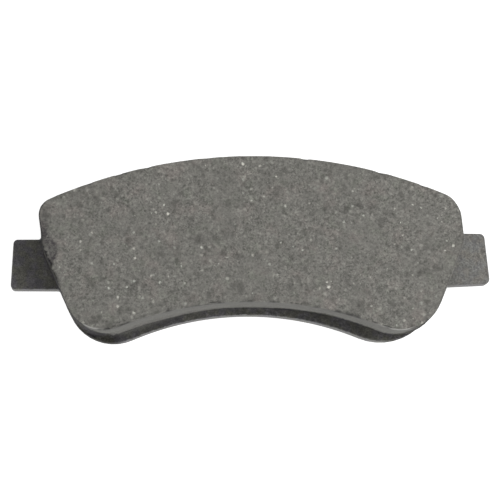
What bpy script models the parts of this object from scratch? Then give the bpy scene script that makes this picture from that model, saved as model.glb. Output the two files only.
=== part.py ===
"""Disc brake pad, modelled in metres, lying on its back with the friction face up.

+Z points out of the friction face towards the brake disc, +X runs along the pad and
+Y points to its long convex edge. The origin lies on the back of the noise shim,
where the caliper piston pushes, in the middle of the pad.
"""

import math

import bmesh
import bpy

# Heights above the surface that the shim's back lies on.
SHIM_OUTER_Z = (0.00000, 0.00020)
SHIM_CORE_Z = (0.00040, 0.00080)
SHIM_INNER_Z = (0.00100, 0.00120)
SHIM_ADHESIVE_Z = (0.00140, 0.00155)
PLATE_Z = (0.00175, 0.00685)
BOND_FILM_Z = (0.00705, 0.00720)
UNDERLAYER_Z = (0.00740, 0.00940)
BLOCK_Z = (0.00970, 0.01870)

# Clearance kept between a piece and the neighbour that it is let into.
FIT_GAP = 0.0003

# Friction block outline at its face: sharp corners, each with the radius that rounds it.
BLOCK_TOP_LEFT = (-0.06040, 0.01170)
BLOCK_TOP_LEFT_RADIUS = 0.00480
BLOCK_SHOULDER_LEFT = (-0.05885, -0.00090)
BLOCK_LOBE_LEFT = (-0.04735, -0.02750)
BLOCK_LOBE_LEFT_RADIUS = 0.01070
BLOCK_LOBE_RIGHT = (0.04850, -0.02890)
BLOCK_LOBE_RIGHT_RADIUS = 0.01250
BLOCK_SHOULDER_RIGHT = (0.06055, 0.00100)
BLOCK_TOP_RIGHT = (0.05940, 0.01265)
BLOCK_TOP_RIGHT_RADIUS = 0.00760
BLOCK_SHOULDER_RADIUS = 0.00600
BLOCK_OUTER_EDGE_RADIUS = 0.14130
BLOCK_INNER_EDGE_RADIUS = 0.10160

# The walls lean outwards by this much from the face down to the plate.
BLOCK_DRAFT = 0.00015
BLOCK_EDGE_CHAMFER = 0.00025

# Backing plate outline without its lugs. It stands out past the block as a narrow ledge
# along both long edges and is nearly flush with the block at the two ends.
PLATE_TOP_LEFT = (-0.06040, 0.01400)
PLATE_TOP_LEFT_RADIUS = 0.00750
PLATE_SHOULDER_LEFT = (-0.05960, 0.00070)
PLATE_LOBE_LEFT = (-0.04550, -0.03153)
PLATE_LOBE_LEFT_RADIUS = 0.01340
PLATE_LOBE_RIGHT = (0.04610, -0.03307)
PLATE_LOBE_RIGHT_RADIUS = 0.01660
PLATE_SHOULDER_RIGHT = (0.06105, 0.00340)
PLATE_TOP_RIGHT = (0.06070, 0.01480)
PLATE_TOP_RIGHT_RADIUS = 0.01000
PLATE_SHOULDER_RADIUS = 0.00600
PLATE_OUTER_EDGE_RADIUS = 0.14900
PLATE_INNER_EDGE_RADIUS = 0.08376
PLATE_DIE_ROLL = 0.00040

# Lugs that slide in the caliper bracket, each a near rectangle on the plate's end.
LUG_LEFT_TOP = (-0.06760, 0.00340)
LUG_LEFT_BOTTOM = (-0.06845, -0.01100)
LUG_RIGHT_TOP = (0.06800, 0.00470)
LUG_RIGHT_BOTTOM = (0.06940, -0.00990)
LUG_CORNER_RADIUS = 0.00120
LUG_RIGHT_CORNER_RADIUS = 0.00145
LUG_ROOT_RADIUS = 0.00060

# How far the glue film stays inside the block's outline, and the shim inside the plate's.
FILM_INSET = 0.00080
SHIM_INSET = 0.00150
SHIM_CORE_INSET = 0.00120

# Moulding holes in the plate and the underlayer plugs that fill them.
PLUG_CENTRES = ((-0.0440, -0.0060), (-0.0170, 0.0080), (0.0170, 0.0080), (0.0440, -0.0060))
HOLE_RADIUS = 0.0050
PLUG_RADIUS = HOLE_RADIUS - FIT_GAP
PLUG_END_Z = PLATE_Z[0] + FIT_GAP

# Pips pressed out of the plate's back, which locate the shim.
PIP_CENTRES = ((-0.0330, 0.0100), (0.0330, 0.0100))
PIP_RADIUS = 0.0022
PIP_END_Z = 0.0005
SHIM_HOLE_RADIUS = PIP_RADIUS + FIT_GAP

CORNER_STEPS = 10
EDGE_STEPS = 36
SMOOTH_ANGLE = math.radians(30)


def clear_scene():
    for item in list(bpy.data.objects):
        bpy.data.objects.remove(item, do_unlink=True)
    for mesh in list(bpy.data.meshes):
        bpy.data.meshes.remove(mesh)


def make_material(name, colour, roughness, metallic=0.0):
    material = bpy.data.materials.new(name)
    material.use_nodes = True
    shader = material.node_tree.nodes["Principled BSDF"]
    shader.inputs["Base Color"].default_value = (*colour, 1.0)
    shader.inputs["Roughness"].default_value = roughness
    shader.inputs["Metallic"].default_value = metallic
    return material


class Edge:
    """One side of an outline, straight or bent, with the material on its left."""

    def __init__(self, start, end, bend=0.0):
        self.start = start
        self.bend = bend
        length = math.dist(start, end)
        self.along = ((end[0] - start[0]) / length, (end[1] - start[1]) / length)
        self.left = (-self.along[1], self.along[0])
        if bend:
            middle = ((start[0] + end[0]) / 2, (start[1] + end[1]) / 2)
            rise = math.sqrt(bend * bend - length * length / 4)
            rise = math.copysign(rise, bend)
            self.centre = (middle[0] + rise * self.left[0], middle[1] + rise * self.left[1])

    def nearest(self, point, shift):
        """The point of this side, moved inwards by shift, that is closest to a point."""
        if self.bend:
            radius = abs(self.bend - shift)
            away = math.dist(point, self.centre)
            scale = radius / away
            return (
                self.centre[0] + scale * (point[0] - self.centre[0]),
                self.centre[1] + scale * (point[1] - self.centre[1]),
            )
        run = (point[0] - self.start[0]) * self.along[0] + (point[1] - self.start[1]) * self.along[1]
        return (
            self.start[0] + run * self.along[0] + shift * self.left[0],
            self.start[1] + run * self.along[1] + shift * self.left[1],
        )


def meeting_point(first, second, shift, guess):
    """Where two sides cross when both are moved inwards by shift."""
    point = guess
    for _ in range(200):
        point = first.nearest(point, shift)
        point = second.nearest(point, shift)
    return point


def outline(corners, inset=0.0):
    """Points of a closed outline, anticlockwise.

    Each corner is (position, rounding radius, bend of the side that leaves it). A negative
    rounding radius rounds an inside corner, a negative bend makes a hollow side.
    """
    count = len(corners)
    sides = []
    for i, (position, _, bend) in enumerate(corners):
        sides.append(Edge(position, corners[(i + 1) % count][0], bend))
    points = []
    last_point = None
    for i, (position, rounding, _) in enumerate(corners):
        before = sides[i - 1]
        after = sides[i]
        radius = rounding - inset
        centre = meeting_point(before, after, inset + radius, position)
        enter = before.nearest(centre, inset)
        leave = after.nearest(centre, inset)
        start = math.atan2(enter[1] - centre[1], enter[0] - centre[0])
        sweep = math.atan2(leave[1] - centre[1], leave[0] - centre[0]) - start
        sweep = (sweep + math.pi) % math.tau - math.pi
        rounded = []
        for step in range(CORNER_STEPS + 1):
            angle = start + sweep * step / CORNER_STEPS
            rounded.append(
                (
                    centre[0] + abs(radius) * math.cos(angle),
                    centre[1] + abs(radius) * math.sin(angle),
                )
            )
        if before.bend and last_point is not None:
            points.extend(bent_side(before, last_point, rounded[0]))
        points.extend(rounded)
        last_point = rounded[-1]
    if sides[-1].bend:
        points.extend(bent_side(sides[-1], last_point, points[0]))
    return points


def bent_side(side, first, last):
    """Points along a bent side, without its two ends."""
    start = math.atan2(first[1] - side.centre[1], first[0] - side.centre[0])
    sweep = math.atan2(last[1] - side.centre[1], last[0] - side.centre[0]) - start
    sweep = (sweep + math.pi) % math.tau - math.pi
    radius = math.dist(first, side.centre)
    points = []
    for step in range(1, EDGE_STEPS):
        angle = start + sweep * step / EDGE_STEPS
        points.append(
            (side.centre[0] + radius * math.cos(angle), side.centre[1] + radius * math.sin(angle))
        )
    return points


def block_corners():
    """Corners of the friction block, anticlockwise from the top right."""
    return [
        (BLOCK_TOP_RIGHT, BLOCK_TOP_RIGHT_RADIUS, BLOCK_OUTER_EDGE_RADIUS),
        (BLOCK_TOP_LEFT, BLOCK_TOP_LEFT_RADIUS, 0.0),
        (BLOCK_SHOULDER_LEFT, BLOCK_SHOULDER_RADIUS, 0.0),
        (BLOCK_LOBE_LEFT, BLOCK_LOBE_LEFT_RADIUS, -BLOCK_INNER_EDGE_RADIUS),
        (BLOCK_LOBE_RIGHT, BLOCK_LOBE_RIGHT_RADIUS, 0.0),
        (BLOCK_SHOULDER_RIGHT, BLOCK_SHOULDER_RADIUS, 0.0),
    ]


def plate_body_corners():
    """Corners of the backing plate as if it had no lugs, anticlockwise from the top right."""
    return [
        (PLATE_TOP_RIGHT, PLATE_TOP_RIGHT_RADIUS, PLATE_OUTER_EDGE_RADIUS),
        (PLATE_TOP_LEFT, PLATE_TOP_LEFT_RADIUS, 0.0),
        (PLATE_SHOULDER_LEFT, PLATE_SHOULDER_RADIUS, 0.0),
        (PLATE_LOBE_LEFT, PLATE_LOBE_LEFT_RADIUS, -PLATE_INNER_EDGE_RADIUS),
        (PLATE_LOBE_RIGHT, PLATE_LOBE_RIGHT_RADIUS, 0.0),
        (PLATE_SHOULDER_RIGHT, PLATE_SHOULDER_RADIUS, 0.0),
    ]


def point_at_height(lower, upper, height):
    """The point between two corners that has the given Y."""
    share = (height - lower[1]) / (upper[1] - lower[1])
    return (lower[0] + share * (upper[0] - lower[0]), height)


def plate_corners():
    """Corners of the backing plate with its lugs, anticlockwise from the top right."""
    left_root_top = point_at_height(PLATE_SHOULDER_LEFT, PLATE_TOP_LEFT, LUG_LEFT_TOP[1])
    left_root_bottom = point_at_height(PLATE_LOBE_LEFT, PLATE_SHOULDER_LEFT, LUG_LEFT_BOTTOM[1] - 0.0001)
    right_root_top = point_at_height(PLATE_SHOULDER_RIGHT, PLATE_TOP_RIGHT, LUG_RIGHT_TOP[1] + 0.0001)
    right_root_bottom = point_at_height(
        PLATE_LOBE_RIGHT, PLATE_SHOULDER_RIGHT, LUG_RIGHT_BOTTOM[1] - 0.0006
    )
    return [
        (PLATE_TOP_RIGHT, PLATE_TOP_RIGHT_RADIUS, PLATE_OUTER_EDGE_RADIUS),
        (PLATE_TOP_LEFT, PLATE_TOP_LEFT_RADIUS, 0.0),
        (left_root_top, -LUG_ROOT_RADIUS, 0.0),
        (LUG_LEFT_TOP, LUG_CORNER_RADIUS, 0.0),
        (LUG_LEFT_BOTTOM, LUG_CORNER_RADIUS, 0.0),
        (left_root_bottom, -LUG_ROOT_RADIUS, 0.0),
        (PLATE_LOBE_LEFT, PLATE_LOBE_LEFT_RADIUS, -PLATE_INNER_EDGE_RADIUS),
        (PLATE_LOBE_RIGHT, PLATE_LOBE_RIGHT_RADIUS, 0.0),
        (right_root_bottom, -LUG_ROOT_RADIUS, 0.0),
        (LUG_RIGHT_BOTTOM, LUG_RIGHT_CORNER_RADIUS, 0.0),
        (LUG_RIGHT_TOP, LUG_RIGHT_CORNER_RADIUS, 0.0),
        (right_root_top, -LUG_ROOT_RADIUS, 0.0),
    ]


def finish_mesh(name, mesh):
    """Turn a finished bmesh into an object, smooth on its rounded walls."""
    data = bpy.data.meshes.new(name)
    mesh.to_mesh(data)
    mesh.free()
    data.shade_smooth()
    data.set_sharp_from_angle(angle=SMOOTH_ANGLE)
    part = bpy.data.objects.new(name, data)
    bpy.context.collection.objects.link(part)
    return part


def skin_between(mesh, rings):
    """Join rings of vertices that have the same number of points into a closed tube."""
    for lower, upper in zip(rings, rings[1:]):
        count = len(lower)
        for i in range(count):
            j = (i + 1) % count
            mesh.faces.new((lower[i], lower[j], upper[j], upper[i]))


def build_stack(name, levels, material):
    """A closed solid through outlines at rising heights, given as (points, height)."""
    mesh = bmesh.new()
    rings = []
    for points, height in levels:
        rings.append([mesh.verts.new((x, y, height)) for x, y in points])
    mesh.faces.new(list(reversed(rings[0])))
    mesh.faces.new(rings[-1])
    skin_between(mesh, rings)
    part = finish_mesh(name, mesh)
    part.data.materials.append(material)
    return part


def add_post(name, centre, radius, z_range, steps=40):
    """An upright round post as an object of its own."""
    mesh = bmesh.new()
    bmesh.ops.create_cone(
        mesh,
        cap_ends=True,
        segments=steps,
        radius1=radius,
        radius2=radius,
        depth=z_range[1] - z_range[0],
    )
    bmesh.ops.translate(mesh, verts=mesh.verts, vec=(*centre, (z_range[0] + z_range[1]) / 2))
    return finish_mesh(name, mesh)


def combine(part, posts, operation):
    """Add posts to a part, or cut them out of it, and drop them."""
    for post in posts:
        modifier = part.modifiers.new(operation.lower(), "BOOLEAN")
        modifier.operation = operation
        modifier.solver = "EXACT"
        modifier.object = post
        bpy.context.view_layer.objects.active = part
        bpy.ops.object.modifier_apply(modifier=modifier.name)
        bpy.data.objects.remove(post, do_unlink=True)
    part.data.set_sharp_from_angle(angle=SMOOTH_ANGLE)


def posts_at(centres, radius, z_range):
    return [add_post(f"post_{i}", centre, radius, z_range) for i, centre in enumerate(centres)]


def draft_at(height):
    """How far the block's wall stands out past its face outline at a height."""
    return BLOCK_DRAFT * (BLOCK_Z[1] - height) / (BLOCK_Z[1] - PLATE_Z[1])


def build_block(material):
    bottom, top = BLOCK_Z
    corners = block_corners()
    levels = [
        (outline(corners, -draft_at(bottom)), bottom),
        (outline(corners), top - BLOCK_EDGE_CHAMFER),
        (outline(corners, BLOCK_EDGE_CHAMFER), top),
    ]
    return build_stack("friction_block", levels, material)


def build_underlayer(material):
    bottom = UNDERLAYER_Z[0]
    corners = block_corners()
    levels = [(outline(corners, -draft_at(z)), z) for z in UNDERLAYER_Z]
    part = build_stack("underlayer", levels, material)
    combine(part, posts_at(PLUG_CENTRES, PLUG_RADIUS, (PLUG_END_Z, bottom + 0.0010)), "UNION")
    return part


def build_bond_film(material):
    corners = block_corners()
    levels = [(outline(corners, FILM_INSET), z) for z in BOND_FILM_Z]
    part = build_stack("bond_film", levels, material)
    through = (BOND_FILM_Z[0] - 0.001, BOND_FILM_Z[1] + 0.001)
    combine(part, posts_at(PLUG_CENTRES, HOLE_RADIUS, through), "DIFFERENCE")
    return part


def build_backing_plate(material):
    bottom, top = PLATE_Z
    corners = plate_corners()
    levels = [
        (outline(corners, PLATE_DIE_ROLL), bottom),
        (outline(corners), bottom + PLATE_DIE_ROLL),
        (outline(corners), top - PLATE_DIE_ROLL / 2),
        (outline(corners, PLATE_DIE_ROLL / 2), top),
    ]
    part = build_stack("backing_plate", levels, material)
    combine(part, posts_at(PLUG_CENTRES, HOLE_RADIUS, (bottom - 0.001, top + 0.001)), "DIFFERENCE")
    combine(part, posts_at(PIP_CENTRES, PIP_RADIUS, (PIP_END_Z, bottom + 0.001)), "UNION")
    return part


def build_shim_layer(name, z_range, inset, material):
    corners = plate_body_corners()
    levels = [(outline(corners, inset), z) for z in z_range]
    part = build_stack(name, levels, material)
    through = (z_range[0] - 0.001, z_range[1] + 0.001)
    combine(part, posts_at(PIP_CENTRES, SHIM_HOLE_RADIUS, through), "DIFFERENCE")
    return part


def main():
    clear_scene()
    friction = make_material("friction_mix", (0.17, 0.168, 0.155), 0.85)
    underlayer = make_material("underlayer_mix", (0.05, 0.05, 0.048), 0.9)
    adhesive = make_material("bond_adhesive", (0.10, 0.04, 0.02), 0.6)
    steel = make_material("painted_steel", (0.03, 0.03, 0.032), 0.45)
    shim_glue = make_material("shim_adhesive_film", (0.45, 0.42, 0.35), 0.5)
    inner_rubber = make_material("shim_inner_rubber_coat", (0.02, 0.02, 0.02), 0.7)
    shim_steel = make_material("shim_sheet_steel", (0.45, 0.46, 0.48), 0.35, 1.0)
    outer_rubber = make_material("shim_outer_rubber_coat", (0.015, 0.015, 0.016), 0.65)

    build_block(friction)
    build_underlayer(underlayer)
    build_bond_film(adhesive)
    build_backing_plate(steel)
    build_shim_layer("shim_adhesive", SHIM_ADHESIVE_Z, SHIM_INSET, shim_glue)
    build_shim_layer("shim_inner_rubber", SHIM_INNER_Z, SHIM_INSET, inner_rubber)
    build_shim_layer("shim_steel_core", SHIM_CORE_Z, SHIM_CORE_INSET, shim_steel)
    build_shim_layer("shim_outer_rubber", SHIM_OUTER_Z, SHIM_INSET, outer_rubber)


main()
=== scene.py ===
"""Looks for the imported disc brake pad: worn surfaces, procedural materials, light and camera."""

import math
import random

import bpy
import numpy as np
from mathutils import Matrix, Vector, noise
from mathutils.geometry import delaunay_2d_cdt
from mathutils.kdtree import KDTree


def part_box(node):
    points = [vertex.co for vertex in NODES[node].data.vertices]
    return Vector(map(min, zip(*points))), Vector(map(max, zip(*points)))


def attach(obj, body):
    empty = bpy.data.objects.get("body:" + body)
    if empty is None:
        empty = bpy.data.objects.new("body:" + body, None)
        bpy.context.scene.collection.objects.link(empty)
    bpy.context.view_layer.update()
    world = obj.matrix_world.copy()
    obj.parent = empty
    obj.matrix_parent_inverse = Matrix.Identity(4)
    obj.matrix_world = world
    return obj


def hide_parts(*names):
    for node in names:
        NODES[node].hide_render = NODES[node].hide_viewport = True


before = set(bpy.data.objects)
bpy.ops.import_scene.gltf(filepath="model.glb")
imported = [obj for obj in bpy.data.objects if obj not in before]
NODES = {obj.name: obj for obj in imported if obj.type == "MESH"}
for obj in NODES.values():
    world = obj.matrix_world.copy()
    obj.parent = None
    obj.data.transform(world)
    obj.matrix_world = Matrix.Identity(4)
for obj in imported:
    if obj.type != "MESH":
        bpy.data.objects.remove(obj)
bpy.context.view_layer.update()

MM = 0.001
SEED = 11

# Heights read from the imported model.
BLOCK_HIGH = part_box("friction_block")[1].z
UNDER_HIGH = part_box("underlayer")[1].z
PLATE_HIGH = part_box("backing_plate")[1].z


# ---------------------------------------------------------------- outlines


def outline_of(node, level):
    """The outer ring of a CAD node at one of its heights, as an anticlockwise array of (x, y)."""
    mesh = NODES[node].data
    points = np.array([v.co for v in mesh.vertices], float)
    keys = [tuple(row) for row in np.round(points, 6)]
    heights = sorted({round(z, 5) for z in points[:, 2]})
    height = heights[level]
    links = {}
    for polygon in mesh.polygons:
        if abs(polygon.normal.z) > 0.9:
            continue
        corners = [keys[i] for i in polygon.vertices]
        for a, b in zip(corners, corners[1:] + corners[:1]):
            if a != b and abs(a[2] - height) < 5e-6 and abs(b[2] - height) < 5e-6:
                links.setdefault(a, set()).add(b)
                links.setdefault(b, set()).add(a)
    loops, left = [], set(links)
    while left:
        start = min(left)
        loop, here, before = [start], start, None
        while True:
            left.discard(here)
            onward = [p for p in sorted(links[here]) if p != before and (p in left or p == start)]
            if not onward or (onward[0] == start and len(loop) < 3):
                break
            before, here = here, onward[0]
            if here == start:
                break
            loop.append(here)
        loops.append(np.array(loop)[:, :2])
    ring = max(loops, key=lambda r: float(np.ptp(r[:, 0])))
    x, y = ring.T
    area = float(np.sum(x * np.roll(y, -1) - np.roll(x, -1) * y))
    return ring if area > 0 else ring[::-1]


def resample(ring, step, blur):
    """The ring as evenly spaced points, with its facets blurred away."""
    closed = np.vstack([ring, ring[:1]])
    run = np.concatenate([[0.0], np.cumsum(np.hypot(*np.diff(closed, axis=0).T))])
    count = int(round(run[-1] / step))
    at = np.linspace(0.0, run[-1], count, endpoint=False)
    even = np.column_stack([np.interp(at, run, closed[:, k]) for k in (0, 1)])
    return blurred(even, step, blur)


def blurred(values, step, blur):
    """Values round a closed ring, each averaged with its neighbours."""
    reach = int(math.ceil(3 * blur / step))
    weights = np.exp(-0.5 * (np.arange(-reach, reach + 1) * step / blur) ** 2)
    weights /= weights.sum()
    return sum(w * np.roll(values, k, axis=0) for w, k in zip(weights, range(-reach, reach + 1)))


def outward(ring):
    """Unit normals of an anticlockwise ring, pointing outwards."""
    along = np.roll(ring, -1, axis=0) - np.roll(ring, 1, axis=0)
    along /= np.hypot(*along.T)[:, None]
    return np.column_stack([along[:, 1], -along[:, 0]])


# Rings of evenly spaced points along each CAD outline. A block or plate ring is taken one level
# below the top, where the chamfer or roll of the front edge begins. The blur hides the facets.
BLOCK_STEP, BLOCK_BLUR = 0.34 * MM, 0.55 * MM
PLATE_STEP, PLATE_BLUR = 0.30 * MM, 0.22 * MM
SHIM_STEP, SHIM_BLUR = 0.50 * MM, 0.60 * MM
BLOCK_RING = resample(outline_of("friction_block", -2), BLOCK_STEP, BLOCK_BLUR)
PLATE_RING = resample(outline_of("backing_plate", -2), PLATE_STEP, PLATE_BLUR)
BLOCK_OUT = outward(BLOCK_RING)
PLATE_OUT = outward(PLATE_RING)


# ---------------------------------------------------------------- mesh tools


def contains(ring, points):
    """Which points lie inside the ring."""
    inside = np.zeros(len(points), bool)
    x, y = points.T
    for (ax, ay), (bx, by) in zip(ring, np.roll(ring, -1, axis=0)):
        if ay == by:
            continue
        crossed = (ay > y) != (by > y)
        inside ^= crossed & (x < ax + (bx - ax) * (y - ay) / (by - ay))
    return inside


# Shares of the grid spacing: between rows, random shift of each point, distance to the ring.
ROW_SPACING = 0.866
GRID_JITTER = 0.18
RING_MARGIN = 0.6


def fill_inside(ring, spacing, hollow=None):
    """Interior points on an uneven hexagonal grid, and triangles over the ring and those points.

    No interior points are placed inside the hollow ring, where another piece covers the area.
    """
    low, high = ring.min(axis=0), ring.max(axis=0)
    rows = np.arange(low[1], high[1], ROW_SPACING * spacing)
    columns = np.arange(low[0], high[0], spacing)
    x, y = np.meshgrid(columns, rows)
    x = x + 0.5 * spacing * (np.arange(len(rows)) % 2)[:, None]
    points = np.column_stack([x.ravel(), y.ravel()])
    jitter = np.random.default_rng(SEED).uniform(-GRID_JITTER, GRID_JITTER, points.shape)
    points += jitter * spacing
    points = points[contains(ring - RING_MARGIN * spacing * outward(ring), points)]
    if hollow is not None:
        points = points[~contains(hollow, points)]
    every = [Vector(p) for p in np.vstack([ring, points])]
    count = len(ring)
    edges = [(i, (i + 1) % count) for i in range(count)]
    made = delaunay_2d_cdt(every, edges, [], 1, 1e-10, False)
    if len(made[0]) != len(every):
        raise ValueError("two points of a filled ring met")
    triangles = np.array(made[2])
    centres = np.array([made[0][i] for i in triangles.ravel()]).reshape(-1, 3, 2).mean(axis=1)
    on_ring = (triangles < count).all(axis=1)
    keep = ~on_ring
    keep[on_ring] = contains(ring, centres[on_ring])
    return points, triangles[keep].tolist()


def new_piece(name, rings, top=None):
    """A closed piece through anticlockwise, rising rings that all have the same point count.

    top is the result of fill_inside for the last ring, and without it a flat face closes the
    piece. The points come ring by ring, then the interior points of the top. The faces come
    level by level, then the top, then the flat bottom.
    """
    count = len(rings[0])
    blocks = list(rings)
    faces = []
    for level in range(len(rings) - 1):
        lower, upper = level * count, (level + 1) * count
        for i in range(count):
            j = (i + 1) % count
            faces.append((lower + i, lower + j, upper + j, upper + i))
    last = (len(rings) - 1) * count
    if top is None:
        faces.append(tuple(range(last, last + count)))
    else:
        points, triangles = top
        blocks.append(lay(points, float(rings[-1][:, 2].max())))
        faces += [tuple(i + last for i in face) for face in triangles]
    faces.append(tuple(reversed(range(count))))
    mesh = bpy.data.meshes.new(name)
    mesh.from_pydata(np.vstack(blocks).tolist(), [], faces)
    mesh.shade_smooth()
    mesh.update()
    piece = bpy.data.objects.new(name, mesh)
    bpy.context.scene.collection.objects.link(piece)
    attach(piece, "root")
    return piece


def points_of(piece):
    """The piece's vertices as an array, one row each."""
    flat = np.empty(3 * len(piece.data.vertices), np.float32)
    piece.data.vertices.foreach_get("co", flat)
    return flat.reshape(-1, 3).astype(float)


def move_points(piece, points):
    piece.data.vertices.foreach_set("co", points.astype(np.float32).ravel())
    piece.data.update()


def lay(ring, height):
    """A flat ring as 3-D points."""
    return np.column_stack([ring, np.full(len(ring), height)])


def fractal(points, size, octaves=3, offset=0.0):
    """Smooth noise from about -1 to 1 at each point, with features of about the given size."""
    shift = Vector((offset, 2.3 * offset, -1.7 * offset))
    return np.array(
        [noise.fractal(Vector(p) / size + shift, 0.6, 2.0, octaves) for p in points]
    )


def smooth_step(value, low, high):
    """0 below low, 1 above high, and a smooth rise between them."""
    t = np.clip((value - low) / (high - low), 0.0, 1.0)
    return t * t * (3.0 - 2.0 * t)


def flat_tree(points, indices):
    """A search tree over the chosen points, seen from above."""
    tree = KDTree(len(indices))
    for i in indices:
        tree.insert((points[i][0], points[i][1], 0.0), int(i))
    tree.balance()
    return tree


def set_mask(piece, name, values):
    """Stores one number per vertex, which the materials read by name."""
    attribute = piece.data.attributes.new(name, "FLOAT", "POINT")
    attribute.data.foreach_set("value", np.asarray(values, np.float32))


# ---------------------------------------------------------------- shader tools


class Shader:
    """A material's node tree, with short ways to add nodes to it."""

    def __init__(self, name):
        self.material = bpy.data.materials.new(name)
        self.material.use_nodes = True
        self.tree = self.material.node_tree
        self.tree.nodes.clear()
        self.out = self.tree.nodes.new("ShaderNodeOutputMaterial")
        self.bsdf = self.tree.nodes.new("ShaderNodeBsdfPrincipled")
        self.tree.links.new(self.bsdf.outputs["BSDF"], self.out.inputs["Surface"])
        coords = self.tree.nodes.new("ShaderNodeTexCoord")
        self.place = self.vector("MULTIPLY", coords.outputs["Object"], (1000.0, 1000.0, 1000.0))

    def feed(self, socket, value):
        if isinstance(value, bpy.types.NodeSocket):
            self.tree.links.new(value, socket)
        else:
            socket.default_value = value

    def vector(self, operation, a, b):
        node = self.tree.nodes.new("ShaderNodeVectorMath")
        node.operation = operation
        self.feed(node.inputs[0], a)
        self.feed(node.inputs[1], b)
        return node.outputs[0]

    def math(self, operation, a, b=0.0, clamp=False):
        node = self.tree.nodes.new("ShaderNodeMath")
        node.operation = operation
        node.use_clamp = clamp
        self.feed(node.inputs[0], a)
        self.feed(node.inputs[1], b)
        return node.outputs[0]

    def along(self, axis):
        """The place's X, Y or Z in millimetres, for axis 0, 1 or 2."""
        node = self.tree.nodes.new("ShaderNodeSeparateXYZ")
        self.feed(node.inputs[0], self.place)
        return node.outputs[axis]

    def scaled(self, factors):
        """The place in millimetres, stretched by factors along each axis."""
        return self.vector("MULTIPLY", self.place, factors)

    def noise(self, scale, detail, rough=0.55, where=None):
        node = self.tree.nodes.new("ShaderNodeTexNoise")
        self.feed(node.inputs["Vector"], self.place if where is None else where)
        node.inputs["Scale"].default_value = scale
        node.inputs["Detail"].default_value = detail
        node.inputs["Roughness"].default_value = rough
        return node.outputs["Fac"]

    def voronoi(self, scale, where, flat):
        node = self.tree.nodes.new("ShaderNodeTexVoronoi")
        node.voronoi_dimensions = "2D" if flat else "3D"
        self.feed(node.inputs["Vector"], where)
        node.inputs["Scale"].default_value = scale
        return node

    def ramp(self, value, low, high, out_low=0.0, out_high=1.0, smooth=True):
        """Maps low..high to out_low..out_high and holds the ends."""
        node = self.tree.nodes.new("ShaderNodeMapRange")
        node.interpolation_type = "SMOOTHSTEP" if smooth else "LINEAR"
        self.feed(node.inputs["Value"], value)
        node.inputs["From Min"].default_value = low
        node.inputs["From Max"].default_value = high
        node.inputs["To Min"].default_value = out_low
        node.inputs["To Max"].default_value = out_high
        return node.outputs["Result"]

    def mask(self, name):
        """The numbers that set_mask stored under a name."""
        node = self.tree.nodes.new("ShaderNodeAttribute")
        node.attribute_name = name
        return node.outputs["Fac"]

    def mix(self, share, a, b):
        """Colour a where share is 0, colour b where it is 1."""
        node = self.tree.nodes.new("ShaderNodeMix")
        node.data_type = "RGBA"
        self.feed(node.inputs["Factor"], share)
        self.feed(node.inputs[6], (*a, 1.0) if isinstance(a, tuple) else a)
        self.feed(node.inputs[7], (*b, 1.0) if isinstance(b, tuple) else b)
        return node.outputs[2]

    def tone(self, colour, factor):
        """The colour made brighter or darker by a factor."""
        node = self.tree.nodes.new("ShaderNodeVectorMath")
        node.operation = "SCALE"
        self.feed(node.inputs[0], colour)
        self.feed(node.inputs["Scale"], factor)
        return node.outputs[0]

    def spots(self, scale, share, size, where, soft, flat=False):
        """Separate spots: cells per millimetre, share of cells used, mean radius in millimetres.

        Returns the spot mask and a random number for each spot. Flat spots don't change along Z.
        """
        cells = self.voronoi(scale, where, flat)
        parts = self.tree.nodes.new("ShaderNodeSeparateColor")
        self.feed(parts.inputs[0], cells.outputs["Color"])
        chosen = self.math("LESS_THAN", parts.outputs[0], share)
        radius = self.ramp(parts.outputs[1], 0.0, 1.0, 0.5 * size, 1.4 * size, smooth=False)
        far = self.math("DIVIDE", self.math("DIVIDE", cells.outputs["Distance"], scale), radius)
        inside = self.ramp(far, 1.0, 1.0 - soft)
        return self.math("MULTIPLY", inside, chosen), parts.outputs[2]

    def bump(self, height, distance, strength):
        node = self.tree.nodes.new("ShaderNodeBump")
        node.inputs["Strength"].default_value = strength
        node.inputs["Distance"].default_value = distance
        self.feed(node.inputs["Height"], height)
        return node.outputs["Normal"]

    def finish(self, colour, roughness, normal=None, specular=0.5, metallic=0.0):
        self.feed(self.bsdf.inputs["Base Color"], colour)
        self.feed(self.bsdf.inputs["Roughness"], roughness)
        self.feed(self.bsdf.inputs["Specular IOR Level"], specular)
        self.feed(self.bsdf.inputs["Metallic"], metallic)
        if normal is not None:
            self.feed(self.bsdf.inputs["Normal"], normal)
        return self.material


# ---------------------------------------------------------------- materials


def warped(s, scale, reach):
    """The place shifted about by noise, so that spots laid on it come out ragged."""
    node = s.tree.nodes.new("ShaderNodeTexNoise")
    s.feed(node.inputs["Vector"], s.place)
    node.inputs["Scale"].default_value = scale
    node.inputs["Detail"].default_value = 2.0
    shift = s.vector("SUBTRACT", node.outputs["Color"], (0.5, 0.5, 0.5))
    return s.vector("ADD", s.place, s.vector("MULTIPLY", shift, (reach, reach, reach)))


def layered(s, layers):
    """Product of noises, each given as features per millimetre and how far it strays from 1."""
    level = None
    for scale, stray in layers:
        part = s.ramp(s.noise(scale, 2.0, 0.6), 0.25, 0.75, 1.0 - stray, 1.0 + stray, smooth=False)
        level = part if level is None else s.math("MULTIPLY", level, part)
    return level


FACE_GREY = (0.166, 0.162, 0.147)
FACE_BROWN = (0.174, 0.161, 0.147)
FACE_GREEN = (0.160, 0.162, 0.141)
DARK_GRAIN = (0.060, 0.058, 0.052)
SUNK_GRAIN = (0.062, 0.060, 0.054)
PALE_FIBRE = (0.66, 0.64, 0.57)
GREEN_FIBRE = (0.54, 0.56, 0.50)
SMEAR_DARK = (0.052, 0.047, 0.049)
# Dark colour of chips, splits and cracks at the face's edge, also used as painted shade on the
# turned edge at the +X end.
EDGE_DARK_AND_SHADE = (0.045, 0.043, 0.042)
# Painted highlight colour for the face's edge on the lower slopes of both lobes.
FACE_HIGHLIGHT = (0.32, 0.315, 0.30)

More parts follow.
